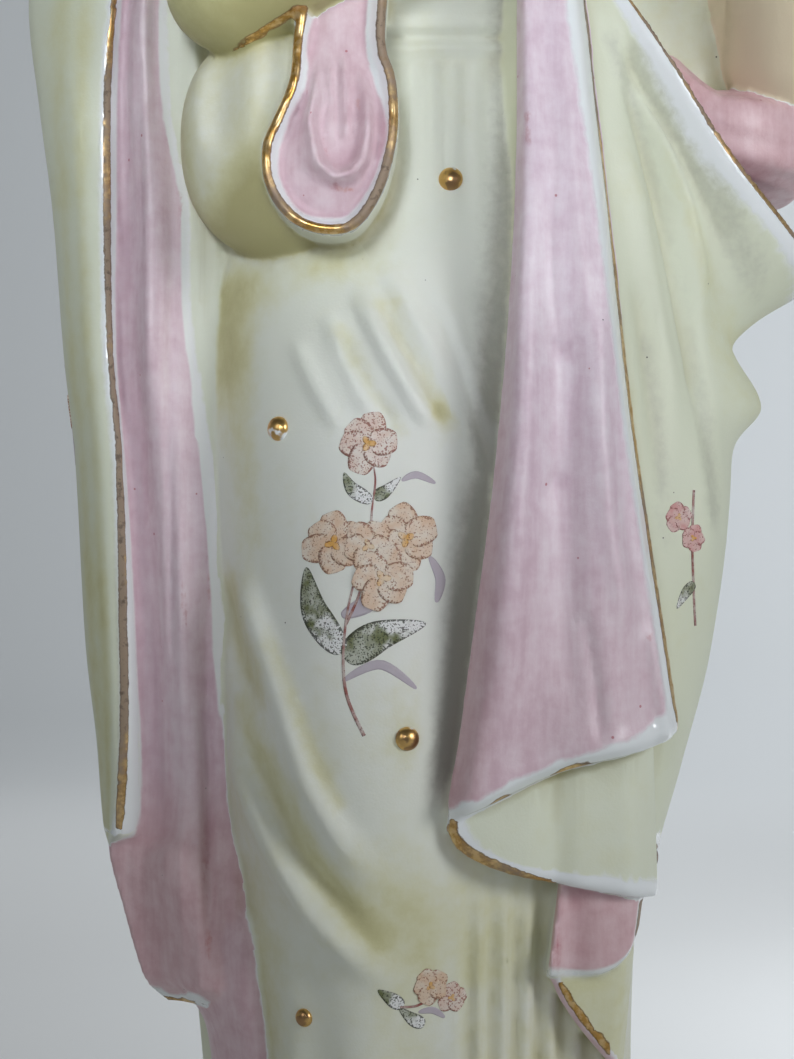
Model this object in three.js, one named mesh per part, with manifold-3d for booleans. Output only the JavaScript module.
// A standing lady in a long gown and a wide mantle, slip-cast in bisque porcelain as one piece with its low oval base.
// Millimetres. +Z is up, the figure faces -Y, and +X is at the right of someone who looks at its face.
// The origin is on the ground under the middle of the base.
import * as THREE from "three";
import { mergeVertices } from "three/addons/utils/BufferGeometryUtils.js";
import Module from "manifold-3d";

const wasm = await Module();
wasm.setup();

// Driving sizes
const baseHalfWidth = 57;
const baseHalfDepth = 46;
const baseHeight = 17;
const neckHeight = 342; // where the neck leaves the shoulders
const headMiddle = 375; // height of the middle of the head
const clothThickness = 2.4;

const turn = 2 * Math.PI;
const degrees = Math.PI / 180;
const mix = (a, b, t) => a + (b - a) * t;
const clamp = (v, low = 0, high = 1) => Math.min(high, Math.max(low, v));
const ease = (low, high, v) => {
  const t = clamp((v - low) / (high - low));
  return t * t * (3 - 2 * t);
};
const hill = (v, width) => Math.exp(-((v / width) ** 2));
const power = (v, exponent) => Math.sign(v) * Math.abs(v) ** exponent;

// Rows of [where, value, value, ...] as a smooth function of where, flat past both ends.
function through(rows) {
  return (at) => {
    let i = 0;
    while (i < rows.length - 2 && at > rows[i + 1][0]) i++;
    const [a, b] = [rows[i], rows[i + 1]];
    const before = rows[Math.max(i - 1, 0)];
    const after = rows[Math.min(i + 2, rows.length - 1)];
    const span = b[0] - a[0];
    const t = clamp((at - a[0]) / span);
    return a.slice(1).map((_, k) => {
      const slope = (p, q) => (q[0] === p[0] ? 0 : (q[k + 1] - p[k + 1]) / (q[0] - p[0]));
      const m0 = slope(before, b) * span * (before === a ? 0 : 1);
      const m1 = slope(a, after) * span * (after === b ? 0 : 1);
      const [t2, t3] = [t * t, t * t * t];
      return (
        (2 * t3 - 3 * t2 + 1) * a[k + 1] + (t3 - 2 * t2 + t) * m0 +
        (3 * t2 - 2 * t3) * b[k + 1] + (t3 - t2) * m1
      );
    });
  };
}

// A closed solid from its vertices and triangles.
function solidFrom(vertices, triangles) {
  const geometry = new THREE.BufferGeometry()
    .setAttribute("position", new THREE.Float32BufferAttribute(vertices.flat(), 3))
    .setIndex(triangles.flat());
  return solidOf(geometry);
}
function solidOf(geometry) {
  const bare = geometry.clone();
  bare.deleteAttribute("normal");
  bare.deleteAttribute("uv");
  const merged = mergeVertices(bare, 1e-4);
  return new wasm.Manifold(
    new wasm.Mesh({
      numProp: 3,
      vertProperties: merged.attributes.position.array,
      triVerts: new Uint32Array(merged.index.array),
    }),
  );
}

// Rings of points stacked from low to high, each ring anticlockwise seen from above, closed at both ends.
function stack(rings) {
  const columns = rings[0].length;
  const middle = (ring) => [0, 1, 2].map((k) => ring.reduce((sum, p) => sum + p[k], 0) / columns);
  const vertices = [...rings.flat(), middle(rings[0]), middle(rings.at(-1))];
  const [foot, crown] = [vertices.length - 2, vertices.length - 1];
  const last = (rings.length - 1) * columns;
  const triangles = [];
  for (let i = 0; i < columns; i++) {
    const next = (i + 1) % columns;
    triangles.push([foot, next, i], [crown, last + i, last + next]);
    for (let j = 0; j < last; j += columns)
      triangles.push([j + i, j + next, j + columns + next], [j + i, j + columns + next, j + columns + i]);
  }
  return solidFrom(vertices, triangles);
}

// A panel of cloth: a front face over (across, down), both 0 to 1, and a back face buried in the figure, which lies
// deeper towards the side where the body falls away.
function panel(columns, rows, frontAt, depth) {
  const vertices = [];
  const triangles = [];
  for (const buried of [0, 1])
    for (let j = 0; j <= rows; j++)
      for (let i = 0; i <= columns; i++) {
        const [x, y, z] = frontAt(i / columns, j / rows);
        vertices.push([x, y + buried * (depth + 15 * ease(15, 38, x)), z]);
      }
  const front = (i, j) => j * (columns + 1) + i;
  const back = (i, j) => front(i, j) + (columns + 1) * (rows + 1);
  const quad = (a, b, c, d) => triangles.push([a, b, c], [a, c, d]);
  for (let j = 0; j < rows; j++)
    for (let i = 0; i < columns; i++) {
      quad(front(i, j), front(i, j + 1), front(i + 1, j + 1), front(i + 1, j));
      quad(back(i, j), back(i + 1, j), back(i + 1, j + 1), back(i, j + 1));
    }
  for (let i = 0; i < columns; i++) {
    quad(front(i, 0), front(i + 1, 0), back(i + 1, 0), back(i, 0));
    quad(front(i, rows), back(i, rows), back(i + 1, rows), front(i + 1, rows));
  }
  for (let j = 0; j < rows; j++) {
    quad(front(0, j), back(0, j), back(0, j + 1), front(0, j + 1));
    quad(front(columns, j), front(columns, j + 1), back(columns, j + 1), back(columns, j));
  }
  return solidFrom(vertices, triangles);
}

// A limb: round sections along a path of [x, y, z, radius], with domed ends. Squash narrows it along the axis that
// the path never follows.
function limb(path, sides = 10, steps = 8, squash = 1, axis = new THREE.Vector3(0, 1, 0)) {
  const line = new THREE.CatmullRomCurve3(path.map(([x, y, z]) => new THREE.Vector3(x, y, z)));
  const radiusAt = through(path.map((p, i) => [i / (path.length - 1), p[3]]));
  const rings = [];
  const ring = (centre, along, radius) => {
    const side = axis.clone().cross(along).normalize();
    const other = along.clone().cross(side);
    return Array.from({ length: sides }, (_, i) => {
      const a = (i / sides) * turn;
      const p = side.clone().multiplyScalar(Math.cos(a) * radius);
      p.addScaledVector(other, Math.sin(a) * radius * squash).add(centre);
      return p.toArray();
    });
  };
  for (let i = 0; i <= steps; i++) {
    const t = i / steps;
    const [centre, along] = [line.getPoint(t), line.getTangent(t)];
    const [radius] = radiusAt(t);
    const domed = (lift, share) => ring(centre.clone().addScaledVector(along, lift * radius), along, share * radius);
    if (i === 0) rings.push(domed(-0.7, 0.66));
    rings.push(ring(centre, along, radius));
    if (i === steps) rings.push(domed(0.7, 0.66));
  }
  return stack(rings);
}

function ball(x, y, z, rx, ry, rz, columns = 12, rows = 8) {
  return solidOf(new THREE.SphereGeometry(1, columns, rows).rotateX(90 * degrees).scale(rx, ry, rz).translate(x, y, z));
}

// The low base: an oval with a foot, a hollow and a rounded upper edge.
function makeBase() {
  const profile = [
    [0, 0], [1, 0], [1, 0.2], [0.945, 0.34], [0.93, 0.52], [0.965, 0.64], [0.98, 0.78], [0.95, 0.93], [0.88, 1], [0, 1.04],
  ].map(([r, h]) => new THREE.Vector2(r, h * baseHeight));
  return solidOf(new THREE.LatheGeometry(profile, 26).rotateX(90 * degrees).scale(baseHalfWidth, baseHalfDepth, 1));
}

// The gown by height: half width, depth in front, depth behind, and the middle's X.
const gownShape = through([
  [12, 44, 38, 34, 0],
  [24, 40, 35, 32, 0],
  [45, 37, 32, 30, -1],
  [80, 35.5, 30, 29, 0],
  [125, 38, 31, 30, 0],
  [165, 41, 31, 32, 1],
  [200, 43, 30.5, 34, 1],
  [225, 41.5, 28, 32, 0],
  [244, 36, 24.5, 26, 0],
  [256, 31.5, 22, 22, 0],
  [272, 32.5, 22.5, 21, 0],
  [292, 35, 24.5, 22, 0],
  [308, 38, 23, 22, 0],
  [320, 39.5, 19, 20, 0],
  [329, 36, 14.5, 17, 0],
  [336, 24, 11.5, 13, 0],
  [neckHeight + 2, 11, 9.5, 10, 0],
]);
// The free leg under the cloth: the thigh's middle X, how far it pushes the cloth, and its width.
const freeLeg = through([
  [20, -19, 3, 14],
  [60, -17, 5, 17],
  [100, -14, 9, 20],
  [130, -12.5, 11, 22],
  [170, -13.5, 9, 24],
  [205, -15, 5.5, 24],
  [240, -15, 0, 22],
]);
// Upright pleats that open towards the hem, more of them in the middle of the front.
function hemPleats(angle, z) {
  const depth = 2.3 * ease(112, 40, z);
  return depth * Math.sin(angle * 13 + 1.1 * Math.sin(angle * 3)) * (0.75 + 0.25 * Math.sin(angle * 5 + 1));
}
function bust(x, z) {
  return 6.5 * (hill(x + 13.5, 11) + hill(x - 13.5, 11)) * hill(z - 301, z > 301 ? 13 : 9.5);
}
function girdle(z) {
  return 1.5 * hill(z - 258, 3) + 1.8 * hill(z - 266, 6);
}
function gownPoint(angle, z) {
  const [halfWidth, front, back, middle] = gownShape(z);
  const [c, s] = [Math.cos(angle), Math.sin(angle)];
  const x = middle + halfWidth * power(c, 0.88);
  const y = (s < 0 ? front : back) * power(s, 0.88);
  const facing = ease(0.1, -0.5, s);
  const [legX, legPush, legWidth] = freeLeg(z);
  const push =
    facing * (legPush * hill(x - legX, legWidth) + bust(x, z)) + girdle(z) + hemPleats(angle, z);
  return [x + 0.45 * c * push, y + (0.35 * s - 0.65 * facing) * push, z];
}
// Spans of height from the base to the neck, each with its own number of rows: close where the folds are fine.
const gownRows = [[baseHeight - 5, 80, 4], [80, 150, 6], [150, 222, 5], [222, 272, 6], [272, 344, 6]];
function makeGown() {
  const columns = 38;
  const heights = gownRows.flatMap(([low, high, rows]) =>
    Array.from({ length: rows }, (_, j) => mix(low, high, j / rows)));
  return stack(
    [...heights, neckHeight + 2].map((z) =>
      Array.from({ length: columns }, (_, i) => {
        const t = (2 * i) / columns - 1; // the front, at t = 0, gets the closest columns
        return gownPoint(-90 * degrees + Math.PI * t * (0.7 + 0.3 * t * t), z);
      })),
  );
}

// Long folds of the gown, as rounded ridges that lie half sunk along its front: runs of [x, z] and the ridge's radius.
const gownFolds = [
  // two great folds sweep down from the side of the hip to the shin
  { run: [[-33, 170], [-29.5, 155], [-24, 141], [-16, 126], [-7, 112], [3, 103]], radius: 4.2, sunk: 1.6 },
  { run: [[-35, 148], [-31.5, 133], [-25.5, 119], [-17, 107], [-7, 97.5], [4, 91]], radius: 4.4, sunk: 1.2 },
  // strained folds over the belly
  { run: [[-24, 214], [-15, 201], [-4, 184]], radius: 3.4, sunk: 1.7 },
  { run: [[-17, 220], [-6, 202], [5, 182]], radius: 3.4, sunk: 1.6 },
  { run: [[-9, 222], [1, 200], [11, 174]], radius: 3.6, sunk: 1.7 },
];
function gownFront(x, z) {
  const [halfWidth, , , middle] = gownShape(z);
  const c = power(clamp((x - middle) / (halfWidth + 2), -1, 1), 1 / 0.88);
  return gownPoint(-Math.acos(c), z)[1];
}
function makeGownFolds() {
  return gownFolds.map(({ run, radius, sunk }) =>
    limb(run.map(([x, z], i) => {
      const end = i === 0 || i === run.length - 1;
      return [x, gownFront(x, z) + (end ? 0.9 * radius : sunk), z, radius * (end ? 0.6 : 1)];
    }), 6, run.length + 1));
}

// The mantle wraps the back and her left side. By height: radius at the right, behind, at the left, and in front.
const mantleShape = through([
  [40, 39, 34, 40, 30],
  [75, 39.5, 36, 41, 31],
  [113, 41, 37.5, 44, 36],
  [130, 45.2, 38, 45, 37.5],
  [150, 50, 39, 46, 38.5],
  [181, 53.5, 41, 47, 39.5],
  [205, 54.5, 43, 48, 39],
  [225, 54.5, 40.5, 49, 37.5],
  [250, 48, 33, 50, 35],
  [280, 43, 30, 53, 33],
  [308, 42, 29.5, 50, 31],
  [322, 40, 27, 45, 27],
  [334, 30, 21, 36, 20],
]);
// By angle round the figure: the mantle's upper edge, its lower hem, and how far its lip stands off.
const mantleEdges = through([
  [-80, 296, 122, 0],
  [-62, 288, 120, 0],
  [-41, 262, 118, 3.5],
  [-25, 236, 116, 10],
  [-10, 220, 114, 14],
  [8, 221, 110, 11],
  [30, 236, 101, 6],
  [60, 262, 88, 3],
  [90, 288, 74, 2],
  [122, 307, 60, 1.5],
  [150, 320, 52, 1],
  [178, 316, 48, 1],
  [200, 300, 46, 1],
  [220, 296, 46, 1],
]);
const mantleStart = -62; // degrees: the front edge under the long panel
const mantleEnd = through([[46, 196], [150, 196], [228, 198], [255, 190], [275, 184], [331, 182]]);
function mantleFolds(degree, z) {
  const slant = degree + (z - 200) * 0.34; // the folds climb from the left hip to the right shoulder
  const behind = ease(15, 50, degree) * ease(205, 170, degree);
  const radiating = 2.1 * Math.sin((slant * 5.2 + 40) * degrees) + 1.1 * Math.sin((slant * 11 + 10) * degrees);
  const side = ease(-70, -50, degree) * ease(45, 20, degree);
  const sideFolds = 1.5 * Math.sin((degree * 7.5 - z * 1.6 + 150) * degrees);
  return behind * radiating + side * sideFolds * ease(262, 225, z);
}
function mantlePoint(degree, z) {
  const angle = degree * degrees;
  const [right, behind, left, front] = mantleShape(z);
  const [c, s] = [Math.cos(angle), Math.sin(angle)];
  const [across, deep] = [c > 0 ? right : left, s > 0 ? behind : front];
  const round = (Math.abs(c / across) ** 2.2 + Math.abs(s / deep) ** 2.2) ** (-1 / 2.2);
  const [edge, , lip] = mantleEdges(degree);
  const stand = lip * ease(22, 1, edge - z);
  const tip = 5.5 * hill(degree + 6, 11) * hill(z - 192.5, 6);
  const radius = round + stand + tip + mantleFolds(degree, z);
  const [gx, gy] = gownPoint(angle, z);
  const shown = ease(mantleStart - 5, mantleStart + 3, degree) * ease(8, -4, degree - mantleEnd(z)[0]);
  const reach = mix(Math.hypot(gx, gy) - 9, radius, shown);
  return [reach * c, reach * s, z];
}
function makeMantle() {
  const [columns, rows] = [46, 9];
  const degreeAt = (i) => mantleStart - 5 + (360 * i) / columns;
  const inward = ([x, y, z], by, drop) => {
    const r = Math.hypot(x, y);
    return [x * (1 - by / r), y * (1 - by / r), z - drop];
  };
  const rings = [];
  for (let j = 0; j <= rows; j++)
    rings.push(
      Array.from({ length: columns }, (_, i) => {
        const degree = degreeAt(i);
        const [edge, hem] = mantleEdges(degree);
        return mantlePoint(degree, mix(hem, edge, j / rows));
      }),
    );
  const hemRing = rings[0].map((p) => inward(p, 7, 0));
  // Where the rim stands off, the lining drops behind it; elsewhere the cloth just closes on the body.
  const open = rings[rows].map((_, i) => mantleEdges(degreeAt(i))[2] / 14);
  const rimInner = rings[rows].map((p, i) => inward(p, clothThickness, -0.6 + open[i]));
  const pocket = rings[rows].map((p, i) => inward(p, 4 + 12 * open[i], -1 + 11 * open[i]));
  return stack([hemRing, ...rings, rimInner, pocket]);
}

// The mantle's hanging side at the left, with its turned-back edge. By height, X of: the outer side, the turned
// edge, the foot of that edge, and the line where it meets the gown.
const wingShape = through([
  [84, -44, -43.5, -43, -33],
  [88, -48.5, -48, -47, -33],
  [96, -54, -53, -52, -33],
  [105, -56.6, -55.5, -54, -33.5],
  [115.5, -59.6, -58, -56.5, -34.5],
  [118.5, -60.8, -56, -51.5, -35.5],
  [134, -62.2, -54.9, -51.8, -37.5],
  [151, -64.2, -54.8, -52.8, -39.2],
  [186, -66.2, -56.2, -54.8, -41.7],
  [204, -68.2, -57.9, -56.9, -44.2],
  [230, -70.2, -58.6, -57, -45.3],
  [250, -72.7, -58.4, -57, -48.5],
  [270, -74.6, -57, -56, -48],
  [288, -71.5, -55.5, -54.5, -42],
  [306, -62, -51, -49, -34],
  [324, -47, -40, -38, -26],
]);
function makeWing() {
  const rows = 17;
  const rings = Array.from({ length: rows + 1 }, (_, j) => {
    const z = mix(86, 326, (j / rows) ** 1.15);
    const [outer, edge, foot, meet] = wingShape(z);
    const turned = ease(115.5, 119, z) * 2.8; // how far the turned-back edge stands off
    const lean = 5 * ease(255, 320, z) + 9 * ease(300, 326, z); // its top leans back into the shoulder
    const narrow = mix(0.55, 1, ease(84, 120, z)) * mix(1, 0.5, ease(298, 322, z));
    const ring = [
      [meet + 16, -10], [meet + 7, -16.5], [meet, -16.5], [mix(meet, foot, 0.4), -18.5], [mix(meet, foot, 0.75), -14.5],
      [foot, -12.5], [edge, -13 - turned], [mix(edge, outer, 0.5), -11 - turned],
      [outer, -3], [outer + 2.5, 4], [mix(outer, meet, 0.45), 13], [meet + 8, 19], [meet + 20, 18],
    ];
    return ring.map(([x, y]) => [x, (y + 1) * narrow + lean - 1, z]);
  });
  return stack(rings.map(anticlockwise));
}
// Turns a ring round where its points run clockwise seen from above.
function anticlockwise(ring) {
  const area = ring.reduce((sum, [x, y], i) => {
    const [nx, ny] = ring[(i + 1) % ring.length];
    return sum + x * ny - nx * y;
  }, 0);
  return area < 0 ? [...ring].reverse() : ring;
}
// The strip of lining that runs on under the wing's hem to the skirt.
function makeWingTail() {
  const tail = through([[44, -36, -27], [60, -38, -28], [76, -41.5, -29.5], [88, -47, -31], [120, -48, -36]]);
  const rings = Array.from({ length: 7 }, (_, j) => {
    const z = mix(44, 112, j / 6);
    const [outer, meet] = tail(z);
    const middle = mix(meet, outer, 0.5);
    const ring = [[meet + 10, -8], [meet + 3, -15], [middle, -14.5], [outer, -7], [outer + 2, 3], [meet + 6, 8]];
    return anticlockwise(ring.map(([x, y]) => [x, y, z]));
  });
  return stack(rings);
}

// The long panel that falls from her right hand: side lines by height, then its hem's slope.
const panelLeft = through([
  [125.8, 0.9], [137.7, 2.7], [160.9, 5.8], [178.9, 8.2], [205, 10.7], [232.8, 12.3], [258.9, 12.6], [290, 13],
]);
const panelRight = through([
  [125.8, 42], [141.3, 39.9], [168.7, 35.7], [189.3, 32.7], [209.9, 30.4], [227.9, 28.6], [248.6, 26.4], [290, 23],
]);
const panelHem = (u) => 124.3 + 16.4 * u + 2.6 * Math.sin(u * 5.2) * u;
function makePanel() {
  return panel(11, 12, (u, v) => {
    const z = mix(288, panelHem(u), v);
    const x = mix(panelLeft(z)[0], panelRight(z)[0], u);
    const flute = 1.5 * Math.sin(u * turn * 1.6 + 0.6) * ease(0, 0.25, v);
    const rim = 3 * (hill(u, 0.06) + hill(1 - u, 0.05));
    return [x, mix(-35.5, -45.5, Math.sin(v * Math.PI * 0.62)) - flute + rim + 6 * ease(0.45, 1, u), z];
  }, 16);
}
// The zigzag of turned cloth below the panel, each layer a little behind the one above.
function makeCascade() {
  const layer = (top, hem, left, right, face) =>
    panel(7, 3, (u, v) => {
      const x = mix(left(v), right(v), u);
      const turnedBack = 9 * ease(0.72, 1, u) ** 2;
      return [x, face + 6.5 * (x / 37) ** 2 - 0.9 * Math.sin(x * 0.19 + 0.4) + turnedBack, mix(top(u), hem(u), v)];
    }, 13);
  const upperHem = (u) => mix(122.5, 109.8, u ** 0.45);
  return [
    layer((u) => panelHem(u) + 4, upperHem, (v) => mix(2.6, 0.9, v), (v) => mix(36, 37, v), -41.3),
    layer((u) => upperHem(u) + 4, (u) => 96.9 + 11.5 * u ** 6, (v) => mix(20.4, 17.9, v), (v) => mix(35.2, 34.2, v), -38.4),
    layer(() => 101, (u) => mix(96.5, 78.5, ease(0, 0.75, u)), (v) => mix(19.8, 24, v), (v) => mix(33.6, 31.5, v), -35.6),
  ];
}

// The rounded gather over the right hip, and the loop of lining that hangs from it.
function makeHipGather() {
  return ball(-26, -22.5, 239.5, 18.4, 14, 20.5, 14, 8);
}
function makeLoop() {
  const half = through([[219.5, 1.5], [222, 6], [227, 9], [234, 10.2], [243, 8.6], [253, 6], [268, 4.5]]);
  const rows = 9;
  const rings = Array.from({ length: rows + 1 }, (_, j) => {
    const z = mix(219.8, 268, j / rows);
    const [w] = half(z);
    const x = -17.6 + 0.8 * ease(230, 262, z);
    const y = mix(-41.5, -35, ease(225, 268, z));
    return [[0.4, 5], [1, 1], [0.92, -2.2], [0.55, -1], [0.1, -2.2], [-0.45, -1], [-0.92, -2.2], [-1, 1], [-0.4, 5]]
      .map(([a, b]) => [x + a * w, y + b * Math.min(1, w / 6), z]);
  });
  return stack(rings.map(anticlockwise));
}

// Arms and hands
function makeArms() {
  return [
    limb([[-34, 4, 318, 14], [-36, -2, 292, 13.5], [-35, -12, 269, 11]], 8, 3),
    limb([[-35, -30, 265, 11.8], [-20, -36, 271, 10.8], [-3, -38.5, 278, 9.4], [5, -38.5, 281.5, 8]], 10, 5),
    limb([[35, 2, 318, 13], [49, -1, 292, 12], [61, -6, 262, 11.3], [62.5, -9, 257.5, 11.4]], 10, 5),
    limb([[63, -10, 257.5, 11.2], [60, -21, 276, 10], [54, -31, 297, 7.2], [51.5, -33.5, 304, 6.2]], 10, 5),
  ];
}
// The mantle over her right shoulder, the wide sleeve behind her left elbow, and the roll of lining that runs
// under that elbow to her back.
function makeDrapes() {
  return [
    limb([[-11, 13, 328, 9], [-33, 9, 324, 14.5], [-49, 5, 306, 17], [-53, 4, 276, 16.5], [-54, 3, 236, 13]], 10, 6),
    limb([[34, 5, 312, 13], [41, 5, 285, 14.5], [43, 4, 258, 14.5], [42, 3, 240, 12]], 10, 4),
    limb([
      [39, -18, 251, 6], [46, -18, 242, 7.5], [55, -15, 235.5, 8.4], [62, -6, 234.5, 8.6],
      [61, 8, 238, 8.4], [50, 20, 246, 7.6], [36, 28, 254, 6], [22, 32, 263, 3.5],
    ], 9, 10, 1, new THREE.Vector3(0, 0, 1)),
  ];
}
function makeRightHand() {
  const fingers = [0, 1, 2, 3].map((i) =>
    limb([[14 - i * 0.6, -41.5, 287.5 - i * 3.9, 2.3], [20 - i * 0.4, -43.6, 287.8 - i * 4, 2.2],
      [25.5 - i * 1.2, -40, 286.5 - i * 3.9, 2]], 5, 2));
  return [
    limb([[5, -38, 281, 6], [11, -39, 283, 7.6], [16, -39.5, 282.5, 6.8]], 8, 3, 0.62),
    limb([[10, -41, 289, 2.6], [14.5, -43.5, 293, 2.3], [19.5, -43.5, 294, 2.1]], 5, 2),
    ...fingers,
  ];
}
function makeLeftHand() {
  const fingers = [0, 1, 2, 3].map((i) =>
    limb([[44.5 + i * 2.2, -31.5 - i * 0.6, 317.5 - i * 1.6, 2.3], [38.5 + i * 1.6, -26.5 - i * 0.8, 325.5 - i * 2.4, 2.2],
      [32.5 + i * 1.4, -20.5 - i * 0.9, 328.5 - i * 2.8, 1.9]], 5, 2));
  return [
    limb([[51.5, -33.5, 303, 5.6], [49.5, -33, 311, 7.2], [46, -30.8, 317.5, 6.6]], 8, 3, 0.62),
    limb([[45.5, -34.5, 308, 2.6], [40, -32, 312, 2.3], [36, -28, 315, 2]], 5, 2),
    ...fingers,
  ];
}

// The head about its own middle, by height: half width, depth in front, depth behind.
const headTilt = new THREE.Matrix4()
  .makeTranslation(0, -3, headMiddle)
  .multiply(new THREE.Matrix4().makeRotationZ(-10 * degrees))
  .multiply(new THREE.Matrix4().makeRotationY(-4 * degrees))
  .multiply(new THREE.Matrix4().makeRotationX(7 * degrees));
const headShape = through([
  [-24.5, 3, 14.5, -7],
  [-23, 6.5, 16.8, -3],
  [-18, 10.8, 17.9, 3],
  [-12, 13.4, 18.2, 10],
  [-5, 15.4, 18.2, 15.5],
  [2, 16.6, 18.2, 19.5],
  [8, 16.9, 19, 21],
  [14, 15.9, 17.9, 20],
  [19, 12.8, 14, 16],
  [23, 7.5, 8, 9],
  [24.6, 2.5, 2.8, 3],
]);
function nose(x, h) {
  const rise = ease(8, -5.5, h) * ease(-9, -6, h);
  return 5.4 * rise * hill(x, mix(2.1, 3, ease(4, -6, h)));
}
function headPoint(angle, h) {
  const [halfWidth, front, back] = headShape(h);
  const [c, s] = [Math.cos(angle), Math.sin(angle)];
  const x = halfWidth * power(c, 0.85);
  const y = (s < 0 ? front : back) * power(s, s < 0 ? 0.85 : 1);
  if (s > 0) return [x, y, h];
  const sockets = 1.5 * hill(Math.abs(x) - 6.6, 3.6) * hill(h - 0.5, 3.2);
  const lips = 1.1 * hill(x, 3.6) * hill(h + 13.3, 1.8);
  const chin = 1.4 * hill(x, 4) * hill(h + 20.5, 3);
  return [x, y - nose(x, h) - lips - chin + sockets, h];
}
const faceAngle = (i, columns) => { // the closest columns are in front
  const t = (2 * i) / columns - 1;
  return -90 * degrees + Math.PI * t * (0.55 + 0.45 * t * t);
};
function makeHead() {
  const [columns, rows] = [18, 14];
  const ringAt = (h) => Array.from({ length: columns }, (_, i) => headPoint(faceAngle(i, columns), h));
  const rings = Array.from({ length: rows + 1 }, (_, j) => ringAt(mix(-24.5, 24.6, j / rows)));
  return stack(rings).transform(headTilt.elements);
}
// The hair: waves drawn back from a middle parting, a coil at the nape and a narrow band over the crown. Its rings
// climb from the hairline, which dips at the temples and drops behind the ears, to the crown.
function hairPoint(angle, share) {
  const across = Math.abs(16 * Math.cos(angle));
  const front = ease(-0.05, -0.8, Math.sin(angle));
  const hairline = mix(-11, 13.5 - 4.5 * ease(4, 15, across), front);
  const h = mix(hairline, 24.4, share);
  const [x, y] = headPoint(angle, h);
  const waves = 0.6 * Math.sin(h * 1.25 + across * 0.56);
  const lift = share === 0 ? -2.5 : 3.2 + waves;
  const r = Math.hypot(x, y);
  return [x * (1 + lift / r), y * (1 + lift / r), h];
}
function makeHair() {
  const [columns, shares] = [20, [0, 0.06, 0.2, 0.36, 0.52, 0.68, 0.84, 1]];
  const cap = stack(shares.map((share) =>
    Array.from({ length: columns }, (_, i) => hairPoint(faceAngle(i, columns), share))));
  const crown = ball(0, 1, 18.5, 15, 17, 9.2, 14, 6);
  const coil = ball(0, 22, -4, 10.5, 9, 9, 12, 6);
  const band = solidOf(new THREE.TorusGeometry(18.6, 1.5, 5, 18).rotateX(-24 * degrees).scale(0.98, 1.06, 1).translate(0, 1, 12.5));
  return [cap, crown, coil, band].map((part) => part.transform(headTilt.elements));
}
function makeNeck() {
  return limb([[0, 3, 330, 13], [0, 1.5, 342, 9], [0, 0, 353, 8], [0, 0, 362, 9]], 12, 4);
}
// Shoe tips at the hem
function makeFeet() {
  return [ball(-17, -33.5, 17, 5.6, 9.5, 4.6, 10, 6), ball(14, -29.5, 17, 5.6, 9.5, 4.6, 10, 6)];
}

const joined = wasm.Manifold.union([
  makeBase(), makeGown(), makeMantle(), makeWing(), makeWingTail(), makePanel(), ...makeCascade(),
  ...makeGownFolds(), makeHipGather(), makeLoop(), ...makeArms(), ...makeDrapes(), ...makeRightHand(), ...makeLeftHand(),
  makeNeck(), makeHead(), ...makeHair(), ...makeFeet(),
]);
// The outer skin alone: spaces closed in between two layers of cloth are filled.
const figure = joined.decompose().reduce((most, body) => (body.volume() > most.volume() ? body : most));

function meshOf(solid, name, material) {
  const { vertProperties, triVerts } = solid.getMesh();
  const geometry = new THREE.BufferGeometry()
    .setAttribute("position", new THREE.BufferAttribute(vertProperties, 3))
    .setIndex(new THREE.BufferAttribute(triVerts, 1));
  geometry.computeVertexNormals();
  const mesh = new THREE.Mesh(geometry, material);
  mesh.name = name;
  return mesh;
}

const bisque = new THREE.MeshStandardMaterial({ color: 0xe4e2c8, roughness: 0.55, metalness: 0 });
const lady = new THREE.Group();
lady.add(meshOf(figure, "lady_figurine", bisque));

export default lady;
